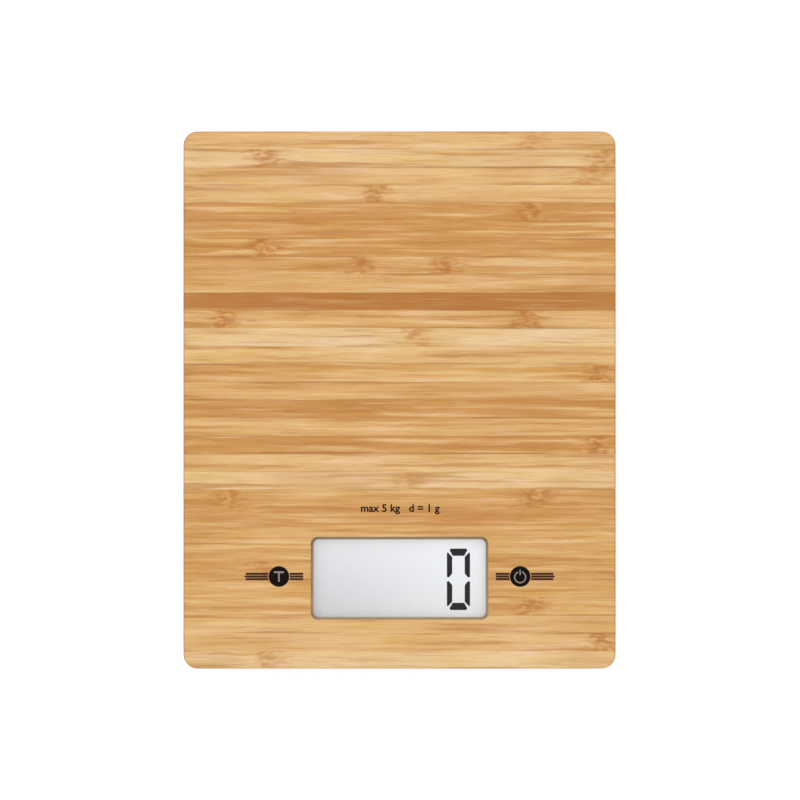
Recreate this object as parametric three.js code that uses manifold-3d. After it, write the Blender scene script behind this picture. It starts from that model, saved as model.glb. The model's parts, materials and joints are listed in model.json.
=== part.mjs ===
// A flat electronic kitchen scale. A bamboo platform is screwed to a shallow plastic housing that stands
// on four feet, and each foot presses on its own load cell. Millimetres, +Z up, +X to the right and -Y to
// the front, where the display is. The origin is on the table under the middle of the scale.

import * as THREE from 'three';
import { mergeVertices } from 'three/addons/utils/BufferGeometryUtils.js';
import Module from 'manifold-3d';

const wasm = await Module();
wasm.setup();

// ---- Driving dimensions ----

const platform = { width: 185, length: 230, thickness: 6, corner: 6, edge: 0.8 };
const housing = { inset: 3, height: 7.5, wall: 1.6, floor: 1.6, corner: 5, edge: 1.4 };
const buttonTravel = 0.5;

// Heights above the table.
const cupBottom = 1.0;
const housingBottom = 3.0;
const floorTop = housingBottom + housing.floor;
const cellBottom = 5.8;
const circuitBottom = 8.0;
const circuitTop = 9.2;
const rim = housingBottom + housing.height;
const platformTop = rim + platform.thickness;

// The display stack, from the window down to the circuit board.
const display = { x: 0, y: -76.3 };
const window = { width: 75.7, length: 35.5, corner: 3, gap: 0.25, recess: 0.4 };
const pocket = { width: 86, length: 46, corner: 3, top: platformTop - 2.2 };
const flange = { width: 81, length: 41, thickness: 0.8, corner: 4 };
const seal = { thickness: 0.5, overlap: 0.4 };
const panel = { width: 78, length: 38, plate: 0.8, ledge: 3 };
const bezel = { width: 84, length: 44, wall: 2.8, height: 3.7, corner: 2, pegRadius: 0.95, pegHeight: 1 };
const backlight = { width: 78, length: 35, height: 2 };
const zebra = { width: 70, length: 2 };
const sealTop = pocket.top;
const flangeTop = sealTop - seal.thickness;

// The circuit board, centred under the display, and what it carries.
const circuit = { width: 112, length: 44, corner: 1.5, screwX: 52.5, screwY: 17.5 };
const touch = { x: 51.5, y: -75.5, wellRadius: 5.5, wellTop: platformTop - 1.7 };
const spring = { wire: 0.25, topRadius: 4.2, bottomRadius: 3, turns: 4, play: 0.05 };
const chipLeg = { width: 0.35, reach: 0.9, thickness: 0.3, inset: 0.1 };
const chipStandOff = 0.1;
const controller = { x: -12, y: -82, width: 9, length: 9, height: 1.5, legs: 6, pitch: 1.27 };
const converter = { x: 12, y: -84, width: 4, length: 10, height: 1.5, legs: 6, pitch: 1.27 };
const unitButton = { x: 34, y: -64, radius: 4.4, flangeRadius: 5.6, hole: 4.7, flangeHeight: 0.5 };
const unitSwitch = {
  width: 6.2, height: 1.7, bore: 1.75, plungerRadius: 1.6, floor: 0.2,
  legReach: 1.4, legWidth: 0.7, legHeight: 0.3, legY: 2.2
};

// One foot under each corner, with its load cell.
const foot = {
  x: 71, y: 93, radius: 8.3, hole: 8.8, top: 4.2, stemRadius: 3, bore: 1.25, flare: 0.4, boreEnd: 0.3
};
const pad = { radius: 7.5, height: cupBottom + 0.8, edge: 0.5 };
const cell = { width: 24, length: 30, thickness: 1.2, corner: 1.5, tongue: 5.5, slot: 2, bar: 6, hole: 1.4 };
const gauge = { width: 6, length: 5, film: 0.15, y: 6.6, dropRadius: 1.9, dropTop: 1.4, dropHeight: 0.8 };
const clamp = { width: 30.6, length: 5, thickness: 1.4, postX: 13.6, postRadius: 1.2, hole: 1.3 };
const mountRail = { clearance: 0.2 };
const rivetHead = { radius: 1.9, top: 1.1, height: 0.6 };
const cellTop = cellBottom + cell.thickness;

// The coin cell and the door under it.
const coin = { x: 0, y: 30, radius: 10, height: 3.2, bottom: 5.1, capRadius: 8.8, wellRadius: 10.4 };
const block = { width: 31, length: 35, top: 10.2, wellTop: 8.9 };
const hinge = { y: 44.2, z: 4.2, barrel: 0.9, pin: 0.5, socket: 0.58, pinReach: 1.1 };
const door = { width: 26.4, thickness: 1.4, front: 14.8, side: 0.3, rearGap: 1.6, frontGap: 0.3 };
const contact = {
  thickness: 0.3, width: 5.4, tab: 2.6, overlap: 4, dimpleX: 1.6,
  clipReach: 0.65, clipHeight: 3.6, clipBow: 0.55
};
const doorPlay = { barrel: 0.2, pinEnd: 0.1, relief: 2.8, slotSide: 0.3, slotTop: 0.1, clipRoom: 2 };
const scoop = { width: 12, length: 8, corner: 3.5, depth: 0.8 };
const doorRib = { width: 12, thickness: 1, height: 0.6, y: 4 };
const doorGrip = { width: 9, thickness: 0.5, depth: 0.2, count: 3, pitch: 1.3, front: 2 };
const doorNib = { width: 8, reach: 0.4, height: 0.6, z: 0.4 };

// Screws, and where the six that hold the housing to the platform stand.
const housingScrew = { headRadius: 2.6, headHeight: 1.8, radius: 1.4, length: 8.2, slot: 1.7 };
const circuitScrew = { headRadius: 2.2, headHeight: 1.15, radius: 1.0, length: 3.8, slot: 1.4 };
const footScrew = { headRadius: 2.6, headHeight: 1.3, radius: 1.15, length: 4.1, slot: 1.7 };
const housingScrewSpots = [[-50, -106], [50, -106], [-84, 0], [84, 0], [-50, 106], [50, 106]];
const floorRib = {
  thickness: 1, height: 1, acrossLength: 100, acrossY: [-34, -6, 60, 76],
  alongLength: 156, alongX: 32, alongY: 28
};
const circuitBoss = { radius: 2.5, pilotPlay: 0.08, pilotBottom: 0.4 };
const boss = { radius: 3.5, counterbore: 2.8, seat: 5.6, clearance: 1.6, pilot: 1.5, pilotDepth: 3.7 };
const lead = { radius: 0.5, sides: 5 };
const gap = 0.05;

// ---- Materials ----

function finish(color, roughness, metalness = 0, opacity = 1) {
  const transparent = opacity < 1;
  return new THREE.MeshStandardMaterial({ color, roughness, metalness, opacity, transparent });
}

const materials = {
  bamboo: finish(0xd9a96d, 0.5),
  darkPlastic: finish(0x3a3b3d, 0.6),
  paintedSteel: finish(0x26272a, 0.5, 0.4),
  blackPlastic: finish(0x1b1b1d, 0.5),
  whitePlastic: finish(0xe8e8e6, 0.5),
  clear: finish(0xeef4f6, 0.05, 0, 0.3),
  glass: finish(0xdfe5e8, 0.1),
  rubber: finish(0x2a2a2a, 0.9),
  foam: finish(0x3c3c3c, 0.95),
  circuit: finish(0x1f5a36, 0.5),
  steel: finish(0xb9bcc0, 0.35, 1),
  zinc: finish(0xc9ccd0, 0.3, 1),
  film: finish(0xc98a3c, 0.5),
  redWire: finish(0xb3261e, 0.6),
  blackWire: finish(0x222222, 0.6),
  whiteWire: finish(0xdadada, 0.6)
};

// ---- Shapes and solids ----

// A closed geometry as a manifold-3d solid, without the flat triangles that a lathe leaves on its axis.
function solid(geometry) {
  const bare = geometry.clone();
  bare.deleteAttribute('normal');
  bare.deleteAttribute('uv');
  const merged = mergeVertices(bare, 1e-4);
  const index = merged.index.array;
  const triangles = [];
  for (let i = 0; i < index.length; i += 3) {
    const [a, b, c] = index.slice(i, i + 3);
    if (a !== b && b !== c && c !== a) triangles.push(a, b, c);
  }
  const vertProperties = merged.attributes.position.array;
  const triVerts = new Uint32Array(triangles);
  return new wasm.Manifold(new wasm.Mesh({ numProp: 3, vertProperties, triVerts }));
}

function geometryOf(made) {
  const { vertProperties, triVerts } = made.getMesh();
  const geometry = new THREE.BufferGeometry();
  geometry.setAttribute('position', new THREE.BufferAttribute(vertProperties, 3));
  geometry.setIndex(new THREE.BufferAttribute(triVerts, 1));
  geometry.computeVertexNormals();
  return geometry;
}

function join(...geometries) {
  return geometryOf(geometries.map(solid).reduce((whole, next) => whole.add(next)));
}

function cut(geometry, ...tools) {
  return geometryOf(tools.map(solid).reduce((whole, tool) => whole.subtract(tool), solid(geometry)));
}

function roundedRectangle(width, length, radius) {
  const x = width / 2 - radius;
  const y = length / 2 - radius;
  const quarter = Math.PI / 2;
  const shape = new THREE.Shape();
  [[x, y], [-x, y], [-x, -y], [x, -y]].forEach(([cx, cy], i) => {
    shape.absarc(cx, cy, radius, i * quarter, (i + 1) * quarter);
  });
  return shape;
}

function polygon(points) {
  return new THREE.Shape(points.map(([x, y]) => new THREE.Vector2(x, y)));
}

// A shape pushed up from z = 0.
function slab(shape, height, curveSegments = 2) {
  return new THREE.ExtrudeGeometry(shape, { depth: height, bevelEnabled: false, curveSegments });
}

// The same with rounded edges above and below, inside the shape's outline.
function roundedSlab(shape, height, edge, curveSegments = 3, bevelSegments = 2) {
  const geometry = new THREE.ExtrudeGeometry(shape, {
    depth: height - 2 * edge,
    bevelThickness: edge,
    bevelSize: edge,
    bevelOffset: -edge,
    bevelSegments,
    curveSegments
  });
  return geometry.translate(0, 0, edge);
}

// A profile of y and z, pushed along X and centred on x = 0.
function alongX(shape, length, curveSegments = 4) {
  const pushed = slab(shape, length, curveSegments).rotateX(Math.PI / 2).rotateZ(Math.PI / 2);
  return pushed.translate(-length / 2, 0, 0);
}

// A profile of x and z, pushed along Y and centred on y = 0.
function alongY(shape, length) {
  return slab(shape, length).rotateX(Math.PI / 2).translate(0, length / 2, 0);
}

function box(width, length, height) {
  return new THREE.BoxGeometry(width, length, height).translate(0, 0, height / 2);
}

function cylinder(radius, height, sides = 12) {
  const geometry = new THREE.CylinderGeometry(radius, radius, height, sides);
  return geometry.rotateX(Math.PI / 2).translate(0, 0, height / 2);
}

// A profile of radius and height, from the axis below to the axis above, turned about Z.
function turned(profile, sides) {
  const points = profile.map(([radius, height]) => new THREE.Vector2(radius, height));
  return new THREE.LatheGeometry(points, sides).rotateX(Math.PI / 2);
}

// A round wire along a curve.
function wire(curve, radius, steps, sides = lead.sides) {
  const section = new THREE.Shape();
  for (let i = 0; i < sides; i += 1) {
    const angle = (i / sides) * 2 * Math.PI;
    const method = i === 0 ? 'moveTo' : 'lineTo';
    section[method](radius * Math.cos(angle), radius * Math.sin(angle));
  }
  return new THREE.ExtrudeGeometry(section, { extrudePath: curve, steps, bevelEnabled: false });
}

function screwGeometry({ headRadius, headHeight, radius, length, slot }) {
  const body = turned([
    [0, -length],
    [radius, -length + radius],
    [radius, 0],
    [headRadius, 0],
    [headRadius * 0.8, headHeight],
    [0, headHeight]
  ], 10);
  const depth = headHeight * 0.6;
  const bars = [0, Math.PI / 2].map((turn) =>
    box(2 * slot, slot * 0.4, headHeight).rotateZ(turn).translate(0, 0, headHeight - depth)
  );
  return cut(body, ...bars);
}

// ---- The object and its pieces ----

const scale = new THREE.Group();
scale.name = 'kitchen_scale';

function piece(name, geometry, material, parent = scale) {
  const mesh = new THREE.Mesh(geometry, material);
  mesh.name = name;
  parent.add(mesh);
  return mesh;
}

function addPlatform() {
  const outline = roundedRectangle(platform.width, platform.length, platform.corner);
  const board = roundedSlab(outline, platform.thickness, platform.edge, 4);
  const pocketDepth = pocket.top - rim;
  const opening = slab(roundedRectangle(window.width, window.length, window.corner), 3 * platform.thickness)
    .translate(display.x, display.y, -platform.thickness);
  const recess = slab(roundedRectangle(pocket.width, pocket.length, pocket.corner), 2 * pocketDepth)
    .translate(display.x, display.y, -pocketDepth);
  const wellDepth = touch.wellTop - rim;
  const wells = [-touch.x, touch.x].map((x) =>
    cylinder(touch.wellRadius, 2 * wellDepth, 20).translate(x, touch.y, -wellDepth)
  );
  const pilots = housingScrewSpots.map(([x, y]) =>
    cylinder(boss.pilot, 2 * boss.pilotDepth).translate(x, y, -boss.pilotDepth)
  );
  const geometry = cut(board, opening, recess, ...wells, ...pilots);
  piece('bamboo_platform', geometry, materials.bamboo).position.z = rim;
}

// What the floor carries at one foot: rails under the load cell and two posts for its clamp.
function cellMounts(corner) {
  const railHeight = cellBottom - floorTop + gap;
  const railWidth = cell.width / 2 - foot.hole - 2 * mountRail.clearance;
  const railX = cell.width / 2 - railWidth / 2;
  const back = cell.length / 2 - railWidth / 2;
  const postHeight = cellTop + clamp.thickness - floorTop + gap;
  const { radius, top, height } = rivetHead;
  const head = turned([[0, 0], [radius, 0], [top, height], [0, height]], 10);
  const parts = [
    box(railWidth, cell.length, railHeight).translate(-railX, 0, 0),
    box(railWidth, cell.length, railHeight).translate(railX, 0, 0),
    box(cell.width, railWidth, railHeight).translate(0, back, 0)
  ];
  for (const x of [-clamp.postX, clamp.postX]) {
    const y = cell.length / 2 - clamp.length / 2;
    parts.push(cylinder(clamp.postRadius, postHeight, 10).translate(x, y, 0));
    parts.push(head.clone().translate(x, y, postHeight));
  }
  return join(...parts).rotateZ(corner.turn).translate(corner.x, corner.y, floorTop - gap - housingBottom);
}

// The walls round the coin cell, with a round well that opens through the floor.
function batteryBlock() {
  return box(block.width, block.length, block.top - floorTop + gap)
    .translate(coin.x, coin.y, floorTop - gap - housingBottom);
}

function batteryCuts() {
  const doorRear = hinge.y + door.rearGap;
  const doorFront = door.front - door.frontGap;
  const openingWidth = door.width + 2 * door.side;
  const openingMiddle = (doorRear + doorFront) / 2;
  const reliefTop = hinge.z + hinge.barrel + doorPlay.barrel - housingBottom;
  const wellHeight = block.wellTop - housingBottom;
  const socketReach = openingWidth / 2 + hinge.pinReach + doorPlay.pinEnd;
  const slotWidth = contact.width + 2 * doorPlay.slotSide;
  const channelHeight = contact.thickness + doorPlay.slotTop;
  const channelBottom = block.wellTop + gap - housingBottom - channelHeight;
  const fingerRoom = roundedRectangle(scoop.width, scoop.length, scoop.corner);
  return [
    box(openingWidth, doorRear - doorFront, 2 * housing.floor).translate(0, openingMiddle, -housing.floor),
    cylinder(coin.wellRadius, wellHeight, 24).translate(coin.x, coin.y, 0),
    box(openingWidth, doorPlay.relief, reliefTop).translate(0, doorRear - doorPlay.relief / 2, 0),
    cylinder(hinge.socket, 2 * socketReach, 16).rotateY(Math.PI / 2)
      .translate(-socketReach, hinge.y, hinge.z - housingBottom),
    box(doorPlay.clipRoom, slotWidth, wellHeight).translate(coin.radius + doorPlay.slotSide, coin.y, 0),
    box(2 * block.width, slotWidth, channelHeight).translate(0, coin.y, channelBottom),
    slab(fingerRoom, 2 * scoop.depth).translate(0, doorFront, -scoop.depth)
  ];
}

function housingOutline(inset) {
  const width = platform.width - 2 * (housing.inset + inset);
  const length = platform.length - 2 * (housing.inset + inset);
  return roundedRectangle(width, length, housing.corner - inset);
}

// Low ribs that stiffen the floor.
function floorRibs() {
  const { thickness, acrossLength, alongLength } = floorRib;
  const height = floorRib.height + gap;
  const across = floorRib.acrossY.map((y) => box(acrossLength, thickness, height).translate(0, y, 0));
  const along = [-floorRib.alongX, floorRib.alongX].map((x) =>
    box(thickness, alongLength, height).translate(x, floorRib.alongY, 0)
  );
  return [...across, ...along].map((rib) => rib.translate(0, 0, floorTop - gap - housingBottom));
}

function addHousing() {
  const tray = roundedSlab(housingOutline(0), housing.height + 2 * housing.edge, housing.edge);
  const above = box(platform.width, platform.length, housing.height).translate(0, 0, housing.height);
  const hollow = slab(housingOutline(housing.wall), housing.height, 3).translate(0, 0, housing.floor);
  const shell = cut(tray, above, hollow);

  const footHoles = corners.map(({ x, y }) =>
    cylinder(foot.hole, 3 * housing.floor, 20).translate(x, y, -housing.floor)
  );
  const buttonHole = cylinder(unitButton.hole, 3 * housing.floor, 20)
    .translate(unitButton.x, unitButton.y, -housing.floor);
  const bossHeight = rim - floorTop + gap;
  const bosses = housingScrewSpots.map(([x, y]) =>
    cylinder(boss.radius, bossHeight, 12).translate(x, y, housing.floor - gap)
  );
  const circuitBosses = circuitScrewSpots.map(([x, y]) =>
    cylinder(circuitBoss.radius, circuitBottom - floorTop + gap, 12).translate(x, y, housing.floor - gap)
  );
  const whole = join(
    shell, ...bosses, ...circuitBosses, ...corners.map(cellMounts), batteryBlock(), ...floorRibs()
  );

  const seat = boss.seat - housingBottom;
  const screwHoles = housingScrewSpots.flatMap(([x, y]) => [
    cylinder(boss.counterbore, 2 * seat, 12).translate(x, y, -seat),
    cylinder(boss.clearance, 2 * housing.height).translate(x, y, 0)
  ]);
  const circuitPilots = circuitScrewSpots.map(([x, y]) =>
    cylinder(circuitScrew.radius + circuitBoss.pilotPlay, housing.height)
      .translate(x, y, housing.floor + circuitBoss.pilotBottom)
  );
  const geometry = cut(
    whole, ...footHoles, buttonHole, ...screwHoles, ...circuitPilots, ...batteryCuts()
  );
  piece('bottom_housing', geometry, materials.darkPlastic).position.z = housingBottom;
}

function addWindow() {
  const stack = new THREE.Group();
  stack.position.set(display.x, display.y, 0);
  scale.add(stack);
  const plugWidth = window.width - 2 * window.gap;
  const plugLength = window.length - 2 * window.gap;
  const plugTop = platformTop - window.recess - (flangeTop - flange.thickness);
  const rest = slab(roundedRectangle(flange.width, flange.length, flange.corner), flange.thickness);
  const plug = roundedSlab(roundedRectangle(plugWidth, plugLength, window.corner), plugTop, 0.3, 3, 1);
  piece('window_lens', join(rest, plug), materials.clear, stack).position.z = flangeTop - flange.thickness;

  const ringOuter = slab(roundedRectangle(flange.width, flange.length, flange.corner), seal.thickness);
  const innerWidth = window.width + 2 * seal.overlap;
  const innerLength = window.length + 2 * seal.overlap;
  const ringInner = slab(roundedRectangle(innerWidth, innerLength, window.corner), 3 * seal.thickness)
    .translate(0, 0, -seal.thickness);
  piece('window_seal', cut(ringOuter, ringInner), materials.foam, stack).position.z = flangeTop;

  addDisplay(stack);
}

function addDisplay(stack) {
  const wide = roundedRectangle(bezel.width, bezel.length, bezel.corner);
  const inside = box(bezel.width - 2 * bezel.wall, bezel.length - 2 * bezel.wall, 3 * bezel.height)
    .translate(0, 0, -bezel.height);
  const pegs = bezelPegSpots.map(([x, y]) =>
    cylinder(bezel.pegRadius, bezel.pegHeight + gap, 10).translate(x, y, -bezel.pegHeight)
  );
  const frame = join(cut(slab(wide, bezel.height), inside), ...pegs);
  piece('lcd_frame', frame, materials.whitePlastic, stack).position.z = circuitTop;

  const rear = -panel.length / 2 + backlight.length / 2;
  const light = box(backlight.width, backlight.length, backlight.height);
  piece('lcd_backlight', light, materials.whitePlastic, stack).position.set(0, rear, circuitTop);

  const lowerPlate = box(panel.width, panel.length - panel.ledge, panel.plate + gap)
    .translate(0, -panel.ledge / 2, 0);
  const upperPlate = box(panel.width, panel.length, panel.plate).translate(0, 0, panel.plate);
  const glass = join(lowerPlate, upperPlate);
  piece('lcd_glass', glass, materials.glass, stack).position.z = circuitTop + backlight.height;

  const strip = box(zebra.width, zebra.length, backlight.height + panel.plate);
  const stripY = panel.length / 2 - panel.ledge / 2;
  piece('zebra_connector', strip, materials.rubber, stack).position.set(0, stripY, circuitTop);
}

function addCircuitBoard() {
  const outline = roundedRectangle(circuit.width, circuit.length, circuit.corner);
  const board = slab(outline, circuitTop - circuitBottom);
  const through = 3 * (circuitTop - circuitBottom);
  const screwHoles = circuitScrewSpots.map(([x, y]) =>
    cylinder(circuitScrew.radius + 0.2, through).translate(x - display.x, y - display.y, -through / 2)
  );
  const pegHoles = bezelPegSpots.map(([x, y]) =>
    cylinder(bezel.pegRadius + 0.1, through, 10).translate(x, y, -through / 2)
  );
  const geometry = cut(board, ...screwHoles, ...pegHoles);
  piece('main_circuit_board', geometry, materials.circuit).position.set(display.x, display.y, circuitBottom);
}

// A chip that hangs under the circuit board: a moulded body with a row of legs on each given side.
function chipGeometry({ width, length, height, legs, pitch }, fourSided) {
  const parts = [box(width, length, height).translate(0, 0, -height - chipStandOff)];
  for (let i = 0; i < legs; i += 1) {
    const along = (i - (legs - 1) / 2) * pitch;
    for (const side of [-1, 1]) {
      const out = side * (width / 2 + chipLeg.reach / 2 - chipLeg.inset);
      const { reach, thickness } = chipLeg;
      parts.push(box(reach, chipLeg.width, thickness).translate(out, along, -thickness));
      if (fourSided) {
        parts.push(box(chipLeg.width, reach, thickness).translate(along, out, -thickness));
      }
    }
  }
  return join(...parts);
}

function addChips() {
  const quad = piece('controller_chip', chipGeometry(controller, true), materials.blackPlastic);
  quad.position.set(controller.x, controller.y, circuitBottom);
  const dual = piece('converter_chip', chipGeometry(converter, false), materials.blackPlastic);
  dual.position.set(converter.x, converter.y, circuitBottom);
}

// The centre line of a spring that widens from the circuit board up to the platform's underside.
class SpringLine extends THREE.Curve {
  getPoint(t, target = new THREE.Vector3()) {
    const angle = t * spring.turns * 2 * Math.PI;
    const radius = THREE.MathUtils.lerp(spring.bottomRadius, spring.topRadius, t);
    const low = spring.wire + spring.play;
    const high = touch.wellTop - circuitTop - spring.wire - spring.play;
    return target.set(radius * Math.cos(angle), radius * Math.sin(angle), THREE.MathUtils.lerp(low, high, t));
  }
}

function addTouchSprings() {
  for (const [name, x] of [['touch_spring_tare', -touch.x], ['touch_spring_power', touch.x]]) {
    const coil = wire(new SpringLine(), spring.wire, 14 * spring.turns, 4);
    piece(name, coil, materials.steel).position.set(x, touch.y, circuitTop);
  }
}

function addUnitSwitch() {
  const switchBottom = circuitBottom - unitSwitch.height;
  const body = box(unitSwitch.width, unitSwitch.width, unitSwitch.height);
  const legZ = unitSwitch.height - unitSwitch.legHeight;
  const legs = [[-1, -1], [1, -1], [1, 1], [-1, 1]].map(([sx, sy]) =>
    box(unitSwitch.legReach, unitSwitch.legWidth, unitSwitch.legHeight)
      .translate(sx * (unitSwitch.width / 2 + 0.4), sy * unitSwitch.legY, legZ)
  );
  const boreDepth = unitSwitch.height - unitSwitch.floor;
  const bore = cylinder(unitSwitch.bore, 2 * boreDepth).translate(0, 0, -boreDepth);
  piece('unit_switch', cut(join(body, ...legs), bore), materials.blackPlastic)
    .position.set(unitButton.x, unitButton.y, switchBottom);

  const flangeBottom = floorTop + 0.1;
  const capBottom = housingBottom + 0.2;
  const flangeZ = flangeBottom - capBottom;
  const button = turned([
    [0, 0],
    [unitButton.radius - 0.3, 0],
    [unitButton.radius, 0.3],
    [unitButton.radius, flangeZ],
    [unitButton.flangeRadius, flangeZ],
    [unitButton.flangeRadius, flangeZ + unitButton.flangeHeight],
    [0, flangeZ + unitButton.flangeHeight]
  ], 20);
  piece('unit_button', button, materials.rubber).position.set(unitButton.x, unitButton.y, capBottom);

  const plungerBottom = flangeBottom + unitButton.flangeHeight + 0.1;
  const plungerTop = circuitBottom - unitSwitch.floor - buttonTravel - 0.1;
  const plunger = cylinder(unitSwitch.plungerRadius, plungerTop - plungerBottom);
  piece('unit_switch_plunger', plunger, materials.whitePlastic)
    .position.set(unitButton.x, unitButton.y, plungerBottom);
}

// A steel plate with a U-shaped slot. The tongue inside the slot bends when the foot presses on it.
function loadCellGeometry() {
  const plate = roundedRectangle(cell.width, cell.length, cell.corner);
  const root = cell.length / 2 - cell.bar;
  const inner = cell.tongue;
  const outer = cell.tongue + cell.slot;
  plate.holes.push(polygon([
    [-outer, root], [-outer, -root - cell.slot], [outer, -root - cell.slot], [outer, root],
    [inner, root], [inner, -root], [-inner, -root], [-inner, root]
  ]));
  const hole = new THREE.Path();
  hole.absarc(0, 0, cell.hole, 0, 2 * Math.PI, true);
  plate.holes.push(hole);
  return slab(plate, cell.thickness, 6);
}

// A thin film bonded to the tongue, under a drop of sealant.
function strainGaugeGeometry() {
  const film = box(gauge.width, gauge.length, gauge.film);
  const { dropRadius, dropTop, dropHeight } = gauge;
  const profile = [[0, gap], [dropRadius, gap], [dropTop, 0.75 * dropHeight], [0, dropHeight]];
  const drop = turned(profile, 10).scale(1.2, 1, 1);
  return join(film, drop);
}

function clampGeometry() {
  const bar = slab(roundedRectangle(clamp.width, clamp.length, 2), clamp.thickness);
  const holes = [-clamp.postX, clamp.postX].map((x) =>
    cylinder(clamp.hole, 3 * clamp.thickness).translate(x, 0, -clamp.thickness)
  );
  return cut(bar, ...holes);
}

function footGeometry() {
  const boreBottom = cellTop - cupBottom - footScrew.length - foot.boreEnd;
  return turned([
    [0, pad.height - cupBottom],
    [pad.radius + 0.1, pad.height - cupBottom],
    [pad.radius + 0.1, 0],
    [foot.radius - foot.flare, 0],
    [foot.radius, foot.flare],
    [foot.radius, foot.top - cupBottom],
    [foot.stemRadius, foot.top - cupBottom],
    [foot.stemRadius, cellBottom - cupBottom],
    [foot.bore, cellBottom - cupBottom],
    [foot.bore, boreBottom],
    [0, boreBottom]
  ], 20);
}

function padGeometry() {
  return turned([
    [0, 0],
    [pad.radius - pad.edge, 0],
    [pad.radius, pad.edge],
    [pad.radius, pad.height],
    [0, pad.height]
  ], 20);
}

// One corner's foot and load cell. The load cell's fixed end points outwards, to the front or the rear.
function addFootStation(corner) {
  const station = new THREE.Group();
  station.position.set(corner.x, corner.y, 0);
  station.rotation.z = corner.turn;
  scale.add(station);
  const clampY = cell.length / 2 - clamp.length / 2;
  piece(`foot_pad_${corner.name}`, padGeometry(), materials.rubber, station);
  piece(`foot_${corner.name}`, footGeometry(), materials.paintedSteel, station).position.z = cupBottom;
  piece(`foot_screw_${corner.name}`, screwGeometry(footScrew), materials.zinc, station).position.z = cellTop;
  piece(`load_cell_${corner.name}`, loadCellGeometry(), materials.steel, station).position.z = cellBottom;
  piece(`strain_gauge_${corner.name}`, strainGaugeGeometry(), materials.film, station)
    .position.set(0, gauge.y, cellTop);
  piece(`load_cell_clamp_${corner.name}`, clampGeometry(), materials.blackPlastic, station)
    .position.set(0, clampY, cellTop);
}

// Each lead's route for the left side, from the load cell to the circuit board. The right side mirrors it.
function addLoadCellLead(corner) {
  const overCircuit = circuitTop + lead.radius + 0.1;
  const start = [-foot.x + 3.3, corner.y + Math.sign(corner.y) * gauge.y, cellTop + 0.75];
  const front = [
    start,
    [-64, -99.4, 7.75],
    [-60, -96, 8.2],
    [-58.4, -91, 9.2],
    [-57, -86.5, overCircuit],
    [-53.5, -85, overCircuit]
  ];
  const rear = [
    start,
    [-64, 99.4, 7.75],
    [-57.4, 95.5, 7.7],
    [-56.2, 86, 6.4],
    [-57, 50, 6.3],
    [-57, 10, 6.3],
    [-57, -25, 6.3],
    [-53, -40, 7],
    [-48.5, -48.5, 9],
    [-47.5, -52.5, overCircuit],
    [-47.5, -58, overCircuit]
  ];
  const mirror = -Math.sign(corner.x);
  const route = (corner.y < 0 ? front : rear).map(([x, y, z]) => new THREE.Vector3(mirror * x, y, z));
  const steps = corner.y < 0 ? 12 : 36;
  piece(`load_cell_lead_${corner.name}`, leadAlong(route, steps), materials.whiteWire);
}

function leadAlong(route, steps) {
  return wire(new THREE.CatmullRomCurve3(route, false, 'centripetal'), lead.radius, steps);
}

function addBattery() {
  const top = coin.height;
  const can = turned([
    [0, 0],
    [coin.radius - 0.3, 0],
    [coin.radius, 0.3],
    [coin.radius, top - 0.4],
    [coin.capRadius + 0.2, top - 0.4],
    [coin.capRadius, top],
    [0, top]
  ], 24);
  piece('battery_cell', can, materials.zinc).position.set(coin.x, coin.y, coin.bottom);

  const stripTop = block.wellTop;
  const tabEnd = block.width / 2 + contact.tab;
  const strip = box(tabEnd + contact.overlap, contact.width, contact.thickness)
    .translate((contact.overlap - tabEnd) / 2, 0, 0);
  const dimple = turned([[0, -0.25], [0.5, -0.25], [1.2, 0.1], [0, 0.1]], 10);
  const dimples = [-contact.dimpleX, contact.dimpleX].map((x) => dimple.clone().translate(x, 0, 0));
  piece('battery_contact_negative', join(strip, ...dimples), materials.steel)
    .position.set(coin.x, coin.y, stripTop - contact.thickness);

  const near = coin.radius + contact.clipReach;
  const far = near + contact.thickness;
  const clipTop = contact.clipHeight;
  const clipUnder = clipTop - contact.thickness;
  const clip = polygon([
    [far, 0], [far - contact.clipBow, 1.4], [far, 3], [far, clipUnder], [tabEnd, clipUnder],
    [tabEnd, clipTop], [near, clipTop], [near, 3], [near - contact.clipBow, 1.4], [near, 0]
  ]);
  piece('battery_contact_positive', alongY(clip, contact.width), materials.steel)
    .position.set(coin.x, coin.y, stripTop - contact.clipHeight);
}

// The lead from each contact to the rear edge of the circuit board. The negative one runs on the left.
function addBatteryLeads() {
  const overCircuit = circuitTop + lead.radius + 0.1;
  const sides = [
    ['battery_lead_negative', -1, materials.blackWire],
    ['battery_lead_positive', 1, materials.redWire]
  ];
  for (const [name, side, material] of sides) {
    const route = [
      [16.3, coin.y, block.wellTop + lead.radius + gap],
      [19.5, 29.5, 9.3],
      [23, 26, 7.6],
      [26, 18, 6.3],
      [30, -6, 6.3],
      [37, -30, 6.3],
      [42.5, -44, 7.4],
      [44.3, -50, 9.2],
      [44.5, -53.5, overCircuit],
      [44.5, -58, overCircuit]
    ].map(([x, y, z]) => new THREE.Vector3(side * x, y, z));
    piece(name, leadAlong(route, 26), material);
  }
}

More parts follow.
